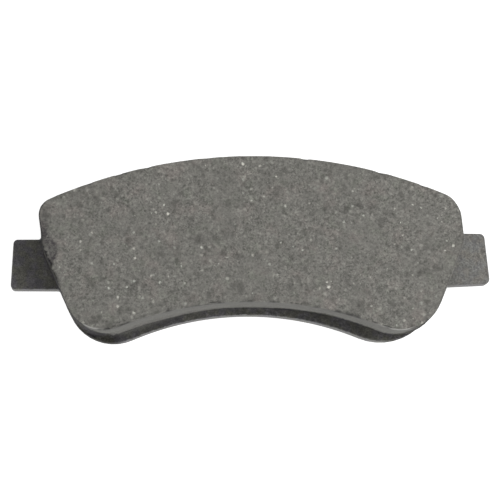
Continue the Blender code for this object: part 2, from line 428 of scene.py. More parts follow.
# Brightness of the face: features per millimetre and how far each strays from 1.
FACE_LAYERS = ((1.0, 0.19), (0.45, 0.12), (0.16, 0.07), (0.05, 0.03))
# Dark grains: cells per millimetre, share of cells used, radius and how dark they are.
DARK_SPOTS = ((0.45, 0.32, 0.78, 0.40), (0.80, 0.24, 0.42, 0.55))
# Pale fibre ends: the same first three, then the faintest and the brightest.
PALE_SPOTS = (
    (0.50, 0.25, 0.58, 0.08, 0.30),
    (0.42, 0.11, 0.52, 0.25, 1.00),
    (0.85, 0.03, 0.34, 0.30, 0.90),
)


def make_face_material():
    """The ground face of the friction mix: grey binder with pale fibre ends and dark grains."""
    s = Shader("ground_friction_face")
    grain = s.noise(1.9, 2.5, 0.62, warped(s, 0.8, 1.2))
    busy = s.noise(0.09, 2.0, 0.5, s.vector("ADD", s.place, (13.0, 71.0, 2.0)))
    busy = s.ramp(busy, 0.35, 0.65, 0.75, 1.2)
    level = s.ramp(grain, 0.27, 0.73, -0.45, 0.45, smooth=False)
    level = s.math("ADD", s.math("MULTIPLY", level, busy), 1.0)
    level = s.math("MULTIPLY", level, layered(s, FACE_LAYERS))
    tint = s.noise(0.16, 3.0, 0.6)
    other = s.noise(0.21, 3.0, 0.6, s.vector("ADD", s.place, (41.0, 17.0, 5.0)))
    colour = s.mix(s.ramp(tint, 0.48, 0.72), FACE_GREY, FACE_BROWN)
    colour = s.mix(s.ramp(other, 0.50, 0.74), colour, FACE_GREEN)
    colour = s.tone(colour, level)

    ragged = warped(s, 1.1, 0.9)
    for scale, share, size, depth in DARK_SPOTS:
        dark, _ = s.spots(scale, share, size, ragged, 0.9, True)
        colour = s.mix(s.math("MULTIPLY", dark, depth), colour, DARK_GRAIN)
    colour = s.mix(s.math("MULTIPLY", s.mask("lump"), 0.60, True), colour, SUNK_GRAIN)
    crowd = s.ramp(s.noise(0.075, 2.0, 0.5), 0.35, 0.65, 0.40, 1.0)
    frayed = warped(s, 2.4, 0.75)
    for scale, share, size, least, most in PALE_SPOTS:
        pale, pick = s.spots(scale, share, size, frayed, 0.8, True)
        tint = s.mix(pick, PALE_FIBRE, GREEN_FIBRE)
        power = s.ramp(s.math("FRACT", s.math("MULTIPLY", pick, 7.0)), 0.0, 1.0, least, most)
        share_here = s.math("MULTIPLY", s.math("MULTIPLY", pale, power), crowd)
        colour = s.mix(share_here, colour, tint)

    # A darker, ragged smear near the -X end of the face, slightly sunk.
    blotch = s.noise(1.0, 4.0, 0.7)
    dark_smear = s.math("MULTIPLY", s.mask("dark_smear"), s.ramp(blotch, 0.36, 0.64, 0.28, 1.0))
    colour = s.mix(s.math("MULTIPLY", dark_smear, 0.88, True), colour, SMEAR_DARK)
    # Dark chips, splits and cracks, and painted shade on the turned edge at the +X end.
    pit_and_shade = s.math("MULTIPLY", s.mask("pit_and_shade"), s.ramp(grain, 0.3, 0.6, 0.6, 1.0))
    colour = s.mix(s.math("MULTIPLY", pit_and_shade, 0.9, True), colour, EDGE_DARK_AND_SHADE)
    # Painted highlight along the face's edge on the lobes' lower slopes.
    colour = s.mix(s.math("MULTIPLY", s.mask("painted_highlight"), 0.75, True), colour, FACE_HIGHLIGHT)
    normal = s.bump(grain, 0.00008, 0.6)
    rough = s.ramp(grain, 0.3, 0.7, 0.80, 0.93, smooth=False)
    return s.finish(colour, rough, normal, specular=0.3)


PAINT_WARM = (0.046, 0.045, 0.038)
PAINT_COOL = (0.044, 0.042, 0.045)
WALL_SKIN = (0.134, 0.132, 0.123)
WALL_GRAIN = (0.065, 0.065, 0.063)
# Painted highlight colour for the top of the side on the lower slopes of both lobes.
WALL_HIGHLIGHT = (0.36, 0.355, 0.34)
OVERSPRAY_TONE = 0.85
SALT_GREY = (0.10, 0.10, 0.095)
# Pale tones of the +X lug's top, partly grey dust and partly a painted sheen.
DUST_SHEEN_WARM = (0.192, 0.182, 0.162)
DUST_SHEEN_COOL = (0.182, 0.182, 0.172)
BLOCK_DUST = (0.132, 0.130, 0.121)
BARE_STEEL = (0.22, 0.22, 0.225)


def paint_colour(s):
    """Black paint, dry sprayed and a little uneven, and the fine noise that it follows."""
    speck = s.noise(2.6, 3.0, 0.7)
    level = s.ramp(speck, 0.28, 0.72, 0.36, 1.84, smooth=False)
    level = s.math("MULTIPLY", level, layered(s, ((0.9, 0.30), (0.3, 0.20))))
    tint = s.ramp(s.noise(0.28, 2.0, 0.5), 0.42, 0.58)
    black = s.mix(tint, PAINT_WARM, PAINT_COOL)
    return s.tone(black, level), speck


def make_wall_material(name):
    """The moulded side of the friction mix, with black paint sprayed up from the plate."""
    s = Shader(name)
    fine = s.noise(2.2, 3.0, 0.6, s.scaled((1.0, 1.0, 0.4)))
    level = s.math(
        "MULTIPLY",
        s.ramp(fine, 0.25, 0.75, 0.86, 1.14, smooth=False),
        layered(s, ((0.8, 0.08), (0.22, 0.06))),
    )
    # Painted light: the skin is up to 1.3 times brighter towards the plate, against the shade that
    # the ledge casts on the foot of the side.
    painted_lift = s.ramp(s.along(2), PLATE_HIGH / MM, BLOCK_HIGH / MM - 3.0, 1.30, 1.0)
    skin = s.tone(WALL_SKIN, s.math("MULTIPLY", level, painted_lift))
    grains, _ = s.spots(0.9, 0.30, 0.30, warped(s, 1.3, 0.5), 0.8)
    skin = s.mix(s.math("MULTIPLY", grains, 0.35), skin, WALL_GRAIN)
    # Painted highlight at the top of the side on the lobes' lower slopes.
    skin = s.mix(s.math("MULTIPLY", s.mask("painted_highlight"), 0.8, True), skin, WALL_HIGHLIGHT)
    # Dark chips near the face's edge; the painted shade of this mask lies on the face, not on the
    # side.
    skin = s.mix(s.math("MULTIPLY", s.mask("pit_and_shade"), 0.8, True), skin, EDGE_DARK_AND_SHADE)
    black, speck = paint_colour(s)
    black = s.tone(black, OVERSPRAY_TONE)
    edge = s.ramp(s.noise(1.3, 4.0, 0.7), 0.2, 0.8, -0.36, 0.36)
    share = s.ramp(s.math("ADD", s.mask("paint"), edge), 0.08, 0.92)
    colour = s.mix(share, skin, black)
    rough = s.ramp(speck, 0.3, 0.7, 0.82, 0.94, smooth=False)
    normal = s.bump(s.math("ADD", fine, s.math("MULTIPLY", speck, 0.6)), 0.00006, 0.6)
    return s.finish(colour, rough, normal, specular=0.10)


def make_plate_material():
    """Black paint on the plate, with painted shade on the -X half of the hollow side, a painted lift
    on the -X lug, dust and a painted sheen at the +X end, and rubbed through along its edges.
    """
    s = Shader("black_painted_steel")
    colour, speck = paint_colour(s)
    # Painted shade: the paint is darker on the -X half of the hollow side and brighter everywhere
    # else.
    colour = s.tone(colour, s.ramp(s.mask("hollow_painted_shade"), 0.0, 1.0, 1.30, 0.80))
    # Painted light: the -X lug's paint is made brighter, lifting the shade that the block casts on
    # it.
    colour = s.tone(colour, s.ramp(s.mask("left_lug_painted_light"), 0.0, 1.0, 1.0, 1.22))
    patchy = s.math("SUBTRACT", layered(s, ((0.75, 0.42), (1.6, 0.30))), 1.0)
    colour = s.tone(colour, s.math("ADD", s.math("MULTIPLY", patchy, s.mask("ledge")), 1.0))
    salt, _ = s.spots(2.2, 0.25, 0.20, warped(s, 1.5, 0.4), 0.8)
    colour = s.mix(s.math("MULTIPLY", salt, 0.30), colour, SALT_GREY)
    # The +X lug's top is paler: partly dust, partly a painted sheen standing in for the key light's
    # reflection.
    east = s.ramp(s.along(0), 52.0, 62.0)
    mottle = s.ramp(s.noise(1.3, 4.0, 0.65), 0.32, 0.64, 0.42, 1.0)
    dust_and_sheen = s.math("MULTIPLY", s.math("MULTIPLY", east, mottle), s.mask("top"))
    tint = s.mix(s.ramp(s.noise(0.30, 2.0), 0.4, 0.6), DUST_SHEEN_WARM, DUST_SHEEN_COOL)
    dusty_sheen = s.tone(tint, layered(s, ((2.1, 0.46), (0.8, 0.24))))
    colour = s.mix(s.math("MULTIPLY", dust_and_sheen, 0.92), colour, dusty_sheen)
    thin = s.ramp(s.noise(1.2, 3.0, 0.6), 0.3, 0.6, 0.8, 1.0)
    veil = s.math("MULTIPLY", s.mask("veil"), thin)
    fallen = s.tone(BLOCK_DUST, layered(s, ((2.0, 0.2),)))
    colour = s.mix(s.math("MULTIPLY", veil, 0.9, True), colour, fallen)
    chips = s.ramp(s.noise(1.1, 4.0, 0.7), 0.42, 0.64)
    worn = s.math("MULTIPLY", s.mask("wear"), chips, True)
    colour = s.mix(s.math("MULTIPLY", worn, 0.70), colour, BARE_STEEL)
    rough = s.ramp(speck, 0.3, 0.7, 0.44, 0.62, smooth=False)
    height = s.math("ADD", s.noise(0.9, 2.0, 0.5), speck)
    matt = s.mask("matt")
    rough = s.math("ADD", rough, s.math("MULTIPLY", matt, 0.35), True)
    specular = s.ramp(matt, 0.0, 1.0, 0.42, 0.06)
    return s.finish(colour, rough, s.bump(height, 0.00006, 0.6), specular)


def make_layer_material(name, colour, spread, roughness, scale, metallic):
    """A finely mottled material for the thin layers of the shim."""
    s = Shader(name)
    fine = s.noise(scale, 4.0, 0.6)
    level = s.ramp(fine, 0.25, 0.75, 1.0 - spread, 1.0 + spread, smooth=False)
    rough = s.ramp(fine, 0.3, 0.7, roughness - 0.08, roughness + 0.08, smooth=False)
    return s.finish(s.tone(colour, level), rough, s.bump(fine, 0.00003, 0.5), metallic=metallic)


# ---------------------------------------------------------------- friction block

# How far the side stands out at the plate, from the face's outline.
LEAN = 0.15 * MM
# How far below the face the turned edge starts, and the levels of points on the side below it.
EDGE_DEPTH = 0.42 * MM
WALL_LEVELS = 27
FACE_SPACING = 0.36 * MM
# The share of a chip's depth that the edge moves in, and the share that it moves down.
CHIP_IN, CHIP_DOWN = 0.9, 0.55
LUMP_COUNT = 360


def leaning(height):
    """How far the block's side stands out from its face's outline at a height."""
    return LEAN * (BLOCK_HIGH - height) / (BLOCK_HIGH - PLATE_HIGH)


def edge_chips():
    """How far the face's edge has crumbled at each point of the block's ring, in metres."""
    picker = random.Random(SEED)
    count = len(BLOCK_RING)
    run = np.arange(count) * BLOCK_STEP
    length = count * BLOCK_STEP
    hollow_side = np.where(BLOCK_OUT[:, 1] < -0.72)[0]
    worn_end = np.where((BLOCK_OUT[:, 0] < -0.8) & (BLOCK_RING[:, 1] < 0.0))[0]
    chips = np.zeros(count)
    for where, number, deepest in ((hollow_side, 26, 0.34), (worn_end, 12, 0.50), (None, 22, 0.32)):
        for _ in range(number):
            if where is None:
                at = picker.random() * length
            else:
                at = run[where[picker.randrange(len(where))]]
            half = picker.uniform(0.3, 1.3) * MM
            depth = picker.uniform(0.10, deepest) * MM
            away = np.abs((run - at + length / 2) % length - length / 2)
            chips = np.maximum(chips, depth * np.exp(-0.5 * (away / half) ** 2))
    ragged = fractal(lay(BLOCK_RING, 0.0), 0.9 * MM, 3, 3.0)
    x, y = BLOCK_RING.T / MM
    crumbled = (x < -50.0) * smooth_step(-y, 0.5, 3.0) * (1.0 - smooth_step(-y, 9.5, 11.5))
    chips *= 1.0 - (x < -45.0) * smooth_step(-y, 10.5, 12.5)
    chips = chips * (1.0 + 0.8 * ragged) + crumbled * (0.34 + 0.35 * ragged) * MM
    return np.clip(chips, 0.0, 0.75 * MM)


# Marks on the face as paths of (X, Y, half width, strength), in millimetres.
STREAK = (
    (-58.4, 10.6, 0.6, 0.50),
    (-58.4, 7.8, 1.1, 0.55),
    (-58.6, 5.8, 1.3, 1.10),
    (-58.7, 3.8, 1.3, 1.25),
    (-57.8, 1.8, 1.4, 1.10),
    (-56.4, 0.1, 1.6, 1.20),
    (-55.8, -1.6, 1.5, 1.05),
    (-56.0, -3.3, 1.0, 1.30),
    (-56.4, -4.9, 0.7, 0.95),
)
CRACKS = (
    ((-47.0, -21.6, 0.3, 0.5), (-45.0, -22.6, 0.3, 0.7), (-42.0, -23.2, 0.3, 0.4)),
    ((-42.0, -23.2, 0.3, 0.4), (-40.0, -23.2, 0.4, 0.9), (-38.6, -22.5, 0.3, 0.8)),
    ((-38.6, -22.5, 0.3, 0.8), (-37.0, -22.3, 0.3, 0.8), (-35.2, -21.9, 0.3, 0.6)),
    ((-28.0, -19.8, 0.4, 1.0), (-27.8, -19.8, 0.4, 1.0)),
    ((-2.4, -16.5, 0.3, 0.7), (-1.5, -16.5, 0.3, 0.8)),
    ((12.6, -17.2, 0.3, 0.8), (13.1, -17.3, 0.3, 0.8)),
    ((16.0, -17.6, 0.25, 0.5), (17.2, -17.8, 0.3, 0.7)),
    ((-20.0, -17.9, 0.3, 0.5), (-17.5, -17.3, 0.3, 0.6)),
)


def near_path(points, path, reach, size):
    """The path's strength at each point, falling to 0 at its ragged edges."""
    flat = points[:, :2]
    corners = np.array([corner[:2] for corner in path])
    margin = 4.0
    low, high = (corners.min(axis=0) - margin) * MM, (corners.max(axis=0) + margin) * MM
    near = np.where(((flat > low) & (flat < high)).all(axis=1))[0]
    share = np.zeros(len(flat))
    ragged = reach * fractal(points[near], size, 3, 8.0)
    for (ax, ay, a_half, a_power), (bx, by, b_half, b_power) in zip(path, path[1:]):
        a, b = np.array((ax, ay)) * MM, np.array((bx, by)) * MM
        t = np.clip(((flat[near] - a) @ (b - a)) / ((b - a) @ (b - a)), 0.0, 1.0)
        away = np.hypot(*(flat[near] - a - t[:, None] * (b - a)).T) + ragged
        half = (a_half + t * (b_half - a_half)) * MM
        power = a_power + t * (b_power - a_power)
        share[near] = np.maximum(share[near], power * (1.0 - smooth_step(away / half, 0.45, 1.25)))
    return share


def sink_lumps(points, on_face):
    """Softly sunk dark grains over the face: how deep, and a mask that marks them."""
    picker = random.Random(SEED + 1)
    tree = flat_tree(points, on_face)
    depth = np.zeros(len(points))
    mark = np.zeros(len(points))
    for _ in range(LUMP_COUNT):
        x, y, _ = points[on_face[picker.randrange(len(on_face))]]
        radius = (0.45 + 0.85 * picker.random() ** 2) * MM
        stretch, angle = picker.uniform(1.0, 1.7), picker.uniform(0.0, math.pi)
        deep, dark = picker.uniform(0.02, 0.07) * MM, picker.uniform(0.35, 1.0)
        for place, i, _ in tree.find_range((x, y, 0.0), radius * stretch):
            dx, dy = place[0] - x, place[1] - y
            along = (dx * math.cos(angle) + dy * math.sin(angle)) / stretch
            across = dy * math.cos(angle) - dx * math.sin(angle)
            inside = max(0.0, 1.0 - (along**2 + across**2) / radius**2)
            depth[i] = max(depth[i], deep * inside)
            mark[i] = max(mark[i], dark * inside**0.7)
    return depth, mark


# How high the spray reaches up the hollow side: X, height above the plate and softness of its
# edge, in millimetres. A height below 0 leaves the side bare.
SPRAY = (
    (-49.0, 13.5, 1.0),
    (-48.0, 12.3, 1.0),
    (-46.9, 9.3, 1.0),
    (-45.5, 7.8, 1.0),
    (-44.2, 7.0, 1.2),
    (-42.8, 4.6, 1.4),
    (-41.2, 2.6, 1.8),
    (-39.6, 1.0, 2.0),
    (-37.6, -0.6, 1.8),
    (-35.0, -1.5, 1.2),
    (5.0, -1.3, 1.0),
    (8.0, 1.0, 1.0),
    (15.0, 1.3, 1.1),
    (21.5, 2.6, 2.2),
    (28.5, 1.6, 1.3),
    (34.0, 1.2, 1.2),
    (37.2, 0.5, 1.0),
    (40.0, 1.8, 2.2),
    (43.0, 4.3, 3.0),
    (44.4, 6.5, 3.0),
    (46.0, 9.0, 2.5),
    (48.0, 12.5, 2.0),
)
SPRAY_SOFTENING = 1.5
OTHER_SOFTNESS = 3.2


def spray_on_ring():
    """How high the black paint reaches at each point of the block's ring, and how softly it ends.

    The spray reached the -X end and the outer slopes of the lobes right up to the face, the +X
    end most of the way, the convex side a little way up, and the hollow side hardly at all.
    """
    x, y = BLOCK_RING.T / MM
    across, along = BLOCK_OUT.T
    places, tops, softs = np.array(SPRAY).T
    hollow_side = smooth_step(-along, 0.25, 0.5) * (y < -12.0)
    end = smooth_step(np.abs(across), 0.5, 0.8)
    upper = np.where(x < 0.0, smooth_step(y, -16.0, -10.0), 0.8)
    left_end = (x < -50.0) * (y > -12.0) * (y < 12.0)
    elsewhere = blurred(2.2 + end * (7.3 * upper - 0.6) + 6.0 * left_end, BLOCK_STEP, 4.0 * MM)
    elsewhere += 0.9 * fractal(lay(BLOCK_RING, 0.0), 9.0 * MM, 3, 14.0)
    top = elsewhere + hollow_side * (np.interp(x, places, tops) - elsewhere)
    hollow_softness = np.interp(x, places, softs) * SPRAY_SOFTENING
    soft = OTHER_SOFTNESS + hollow_side * (hollow_softness - OTHER_SOFTNESS)
    return top, soft


def paint_share(points):
    """How much of the side the black paint covers, for whole rings of points: 1 is black."""
    top, soft = spray_on_ring()
    heights = (points[:, 2].reshape(-1, len(BLOCK_RING)) - PLATE_HIGH) / MM
    return 1.0 - smooth_step((heights - top) / soft, -1.0, 1.0).ravel()


# Where the edge between the hollow side and the face has split, as stretches of X in millimetres.
SPLITS = ((25.0, 29.5), (32.0, 39.5), (-12.5, -9.0), (10.5, 13.0))


def edge_splits():
    """1 where the face's edge has split along the hollow side, at each point of the ring."""
    x = BLOCK_RING[:, 0] / MM
    share = np.zeros(len(BLOCK_RING))
    for start, end in SPLITS:
        begun = smooth_step(x, start - 0.4, start + 0.6)
        share = np.maximum(share, begun * (1.0 - smooth_step(x, end - 0.6, end + 0.4)))
    broken = smooth_step(fractal(lay(BLOCK_RING, 0.0), 1.6 * MM, 3, 12.0), -0.35, 0.0)
    return share * broken * (BLOCK_OUT[:, 1] < -0.3)


# The turned edge of the face: how far in and down, in millimetres, and how much a split sinks it.
TURN = (
    (0.02, 0.28, 0.0),
    (0.05, 0.16, 0.0),
    (0.11, 0.07, 0.2),
    (0.20, 0.02, 0.9),
    (0.32, 0.00, 1.0),
    (0.44, 0.00, 0.7),
    (0.58, 0.00, 0.0),
    (0.80, 0.00, 0.0),
)


def build_block():
    """The friction block: its side down to the underlayer, a crumbled edge and the ground face."""
    chips = edge_chips()
    chip_share = np.clip(chips / (0.30 * MM), 0.0, 1.0)
    rings = []
    for height in np.linspace(UNDER_HIGH, BLOCK_HIGH - EDGE_DEPTH, WALL_LEVELS):
        ring = lay(BLOCK_RING, height)
        rough = 0.035 * MM * fractal(ring, 1.1 * MM, 3, 1.0)
        rough += 0.05 * MM * fractal(ring, 6.0 * MM, 2, 2.0)
        near_edge = float(smooth_step(height, BLOCK_HIGH - 1.6 * MM, BLOCK_HIGH))
        reach = leaning(height) + rough - CHIP_IN * near_edge * chips
        ring[:, :2] += reach[:, None] * BLOCK_OUT
        rings.append(ring)
    first_turn = len(rings)
    splits = edge_splits()
    for inset, drop, sunk in TURN:
        ring = lay(BLOCK_RING - (inset * MM + CHIP_IN * chips)[:, None] * BLOCK_OUT, BLOCK_HIGH)
        chipped = CHIP_DOWN * chips * math.exp(-((inset / 0.4) ** 2))
        ring[:, 2] -= drop * MM + chipped + 0.25 * MM * sunk * splits
        rings.append(ring)
    count = len(BLOCK_RING)
    piece = new_piece("friction_material", rings, fill_inside(rings[-1][:, :2], FACE_SPACING))

    points = points_of(piece)
    on_face = np.arange(first_turn * count, len(points))
    face = points[on_face]
    dark_smear = np.zeros(len(points))
    dark_smear[on_face] = near_path(face, STREAK, 0.40 * MM, 1.3 * MM)
    depth, lump = sink_lumps(points, on_face)
    hollows = np.clip(fractal(face, 2.1 * MM, 3, 9.0) - 0.38, 0.0, 1.0)
    depth[on_face] += 0.012 * MM * (1.0 + fractal(face, 1.0 * MM, 4, 5.0)) + 0.08 * MM * hollows
    cracks = np.zeros(len(points))
    for path in CRACKS:
        cracks[on_face] = np.maximum(cracks[on_face], near_path(face, path, 0.10 * MM, 0.9 * MM))
    points[:, 2] -= depth + 0.12 * MM * dark_smear + 0.25 * MM * cracks
    points[:, 2] = np.minimum(points[:, 2], BLOCK_HIGH)
    move_points(piece, points)

    # Chips, splits and cracks show dark, both lobes have a painted highlight along the edge of their
    # lower slopes, and the turned edge is darker at both ends, at the +X end as painted shade over
    # the edge that the key light catches.
    x, below = BLOCK_RING[:, 0] / MM, BLOCK_OUT[:, 1] < 0.0
    # Painted highlight along the lower slopes of both lobes, weaker where the edge has chipped.
    left_highlight = smooth_step(x, -47.9, -46.9) * (1.0 - smooth_step(x, -43.8, -40.5))
    right_highlight = smooth_step(x, 34.0, 39.0) * (1.0 - smooth_step(x, 44.0, 47.0))
    highlight = below * (left_highlight + right_highlight) * (1.0 - 0.8 * chip_share)
    upper = smooth_step(BLOCK_RING[:, 1] / MM, -2.0, 2.0)
    # The turned edge is darker along the upper part of the -X end.
    left_darkening = (x < -54.0) * upper * (BLOCK_OUT[:, 1] < 0.75)
    # Painted shade on the turned edge at the +X end, where the key light would catch it.
    right_painted_shade = 0.55 * smooth_step(x, 50.0, 54.0) * (BLOCK_OUT[:, 1] < 0.3)
    edge_darkening = left_darkening + right_painted_shade
    # Dark marks on the edge: chips, splits and cracks, then the darkened ends.
    pit_and_shade = cracks
    # The painted highlight covers the top row of the side and the first four rows of the turned
    # edge.
    painted_highlight = np.zeros(len(points))
    for level in range(first_turn - 4, len(rings)):
        here = slice(level * count, (level + 1) * count)
        past = level - first_turn
        pit_and_shade[here] = chip_share * math.exp(-((past / 4.5) ** 2))
        painted_highlight[here] = highlight * (-1 <= past < 4)
        if past >= 0:
            darkened = edge_darkening * (0.9 if past < 5 else 0.4 if past == 5 else 0.0)
            pit_and_shade[here] = np.maximum.reduce([pit_and_shade[here], splits * TURN[past][2], darkened])
    for name, values in (("pit_and_shade", pit_and_shade), ("painted_highlight", painted_highlight), ("dark_smear", dark_smear), ("lump", lump)):
        set_mask(piece, name, values)
    paint = np.zeros(len(points))
    paint[: len(rings) * count] = paint_share(points[: len(rings) * count])
    set_mask(piece, "paint", paint)
    piece.data.materials.append(make_wall_material("moulded_friction_side"))
    piece.data.materials.append(make_face_material())
    slots = np.ones(len(piece.data.polygons), np.int32)
    slots[: first_turn * count] = 0
    slots[-1] = 0
    piece.data.polygons.foreach_set("material_index", slots)
    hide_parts("friction_block")


def foot_room():
    """How far the plate's front face reaches past the block at each point of the block's ring."""
    room = np.empty(len(BLOCK_RING))
    for i, (point, normal) in enumerate(zip(BLOCK_RING, BLOCK_OUT)):
        gap = PLATE_RING - point
        ahead = gap @ normal
        aside = np.abs(gap @ np.array([-normal[1], normal[0]]))
        line = np.where((aside < 0.6 * MM) & (ahead > -1.5 * MM))[0]
        room[i] = ahead[line].min() if len(line) else 1.0 * MM
    return np.clip(room - 0.25 * MM, 0.0, 2.0 * MM)


def build_underlayer():
    """The underlayer's side, from the plate up to the block, with a small foot on the plate.

    The foot is widest along the -X half of the hollow side.
    """
    slope = smooth_step(-BLOCK_RING[:, 0] / MM, 8.0, 26.0) * smooth_step(-BLOCK_OUT[:, 1], 0.6, 0.9)
    foot = np.minimum((0.15 + 0.45 * slope) * MM, foot_room())
    levels = 10
    rings = []
    for height in np.linspace(PLATE_HIGH, UNDER_HIGH, levels):
        share = (height - PLATE_HIGH) / (UNDER_HIGH - PLATE_HIGH)
        flare = foot * (1.0 - min(1.0, share / 0.8)) ** 2
        ring = lay(BLOCK_RING, height)
        rough = 0.06 * MM * fractal(ring, 0.9 * MM, 3, 4.0) * (1.0 - 0.5 * share)
        ring[:, :2] += (leaning(height) + flare + rough)[:, None] * BLOCK_OUT
        rings.append(ring)
    piece = new_piece("underlayer_side", rings)
    points = points_of(piece)
    set_mask(piece, "paint", paint_share(points))
    piece.data.materials.append(make_wall_material("moulded_underlayer_side"))
    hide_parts("underlayer")


# ---------------------------------------------------------------- backing plate


# Pale dust swept from the block's foot onto the plate: X and how far it reaches, in millimetres.
DUST = (
    (-41.0, 0.0),
    (-39.0, 0.4),
    (-37.3, 0.8),
    (-31.6, 1.0),
    (-28.7, 0.9),
    (-23.0, 0.65),
    (-14.0, 0.2),
    (-7.0, 0.0),
)
# How strongly a trace of it lies all along the foot.
FOOT_DUST = 0.30


def veil_share(points):
    """How much pale dust lies on the plate beside the hollow side, fading away from the block."""
    x, y = points[:, 0] / MM, points[:, 1] / MM
    places, reaches = np.array(DUST).T
    reach = np.interp(x, places, reaches)
    share = np.zeros(len(points))
    tree = flat_tree(BLOCK_RING, range(len(BLOCK_RING)))
    uneven = np.clip(0.6 + 0.7 * fractal(points, 1.6 * MM, 2, 23.0), 0.1, 1.3)
    for i in np.where((np.abs(x) < 44.0) & (y < -12.0))[0]:
        away = tree.find((points[i, 0], points[i, 1], 0.0))[2] / MM
        share[i] = FOOT_DUST * uneven[i] * (1.0 - smooth_step(away, 0.35, 1.5))
        if reach[i] > 0.02:
            share[i] = max(share[i], 1.0 - smooth_step(away / reach[i], 0.2, 2.3))
    return share


# Radii of the plate's edge at its back and front, and the steps of points round each and between.
BACK_RADIUS, FRONT_RADIUS = 0.55 * MM, 0.26 * MM
BACK_STEPS, SIDE_STEPS, FRONT_STEPS = 6, 12, 4
LEDGE_SPACING = 0.42 * MM
# The gap that the CAD leaves between two bonded layers, which the visual pieces close.
LAYER_GAP = 0.2 * MM


def plate_profile():
    """The plate's blanked edge, from back to front: rolled at the back, nearly square in front.

    Returns rows of inset, height, wear and how much the row belongs to the front face, and the
    first and last row of the straight side.
    """
    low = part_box("shim_adhesive")[1].z + LAYER_GAP
    rows = []
    for step in range(BACK_STEPS + 1):
        angle = math.pi / 2 * step / BACK_STEPS
        inset = BACK_RADIUS * (1.0 - math.sin(angle))
        height = low + BACK_RADIUS * (1.0 - math.cos(angle))
        rows.append((inset, height, 0.5 * math.sin(2 * angle) ** 2, 0.0))
    first_side = len(rows)
    for height in np.linspace(low + BACK_RADIUS, PLATE_HIGH - FRONT_RADIUS, SIDE_STEPS + 1)[1:]:
        rows.append((0.0, height, 0.0, 0.0))
    last_side = len(rows)
    for step in range(1, FRONT_STEPS + 1):
        angle = math.pi / 2 * step / FRONT_STEPS
        inset = FRONT_RADIUS * (1.0 - math.cos(angle))
        height = PLATE_HIGH - FRONT_RADIUS * (1.0 - math.sin(angle))
        rows.append((inset, height, 1.0 if step < FRONT_STEPS else 0.5, 0.7))
    rows += [(0.42 * MM, PLATE_HIGH, 0.0, 1.0), (0.62 * MM, PLATE_HIGH, 0.0, 1.0)]
    return rows, first_side, last_side


def build_plate():
    """The backing plate, which also stands for the bond film hidden between it and the block."""
    profile, first_side, last_side = plate_profile()
    rings = [lay(PLATE_RING - inset * PLATE_OUT, height) for inset, height, _, _ in profile]
    hidden = BLOCK_RING - 1.5 * MM * BLOCK_OUT
    top_fill = fill_inside(rings[-1][:, :2], LEDGE_SPACING, hidden)
    piece = new_piece("backing_plate_body", rings, top_fill)

    count = len(PLATE_RING)
    points = points_of(piece)
    side = slice(first_side * count, last_side * count)
    streaks = fractal(points[side] * np.array([1.0, 1.0, 0.22]), 0.8 * MM, 3, 6.0)
    reach = 0.012 * MM * (np.minimum(streaks, 1.0) - 1.0)
    points[side, :2] += reach[:, None] * np.tile(PLATE_OUT, (last_side - first_side, 1))
    flat = slice((len(rings) - 2) * count, len(points))
    peel = fractal(points[flat], 0.8 * MM, 3, 7.0)
    points[flat, 2] -= 0.02 * MM * (1.0 - np.clip(peel, -1.0, 1.0))
    move_points(piece, points)

    wear = np.zeros(len(points))
    top = np.ones(len(points))
    for level, (_, _, worn, up) in enumerate(profile):
        here = slice(level * count, (level + 1) * count)
        wear[here] = worn
        top[here] = up
    x, y = points[:, 0] / MM, points[:, 1] / MM
    low_lobes = 1.0 - smooth_step(y, -22.0, -18.0)
    black_lobe = 1.0 - smooth_step(x, -39.5, -35.0) + smooth_step(x, 36.0, 42.0)
    right_lug = smooth_step(x, 54.0, 60.0)
    set_mask(piece, "wear", wear * (1.0 - low_lobes * black_lobe) * (1.0 - 0.75 * right_lug))
    set_mask(piece, "top", top)
    # Where the painted light lies: the -X lug.
    set_mask(piece, "left_lug_painted_light", smooth_step(-x, 55.0, 60.0))
    set_mask(piece, "ledge", top * (1.0 - smooth_step(y, -13.0, -11.0)))
    set_mask(piece, "matt", np.clip(low_lobes * black_lobe, 0.0, 1.0))
    set_mask(piece, "veil", top * veil_share(points))
    # Where the painted shade lies: the -X half of the hollow side.
    set_mask(piece, "hollow_painted_shade", smooth_step(-x, 12.0, 26.0) * (1.0 - smooth_step(y, -17.0, -12.0)))
    piece.data.materials.append(make_plate_material())
    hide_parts("backing_plate", "bond_film")


# ---------------------------------------------------------------- shim


# The hairline seam left between two layers, so that their faces don't coincide.
SEAM = 0.005 * MM


def build_shim_layer(node, low, high, material):
    """One layer of the shim with slightly rounded edges, filling its share of the stack."""
    ring = resample(outline_of(node, -1), SHIM_STEP, SHIM_BLUR)
    small = min(0.06 * MM, 0.3 * (high - low))
    inner = ring - small * outward(ring)
    rings = [lay(inner, low), lay(ring, low + small), lay(ring, high - small), lay(inner, high)]
    piece = new_piece(node + "_layer", rings)
    piece.data.set_sharp_from_angle(angle=math.radians(50))
    piece.data.materials.append(material)
    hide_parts(node)


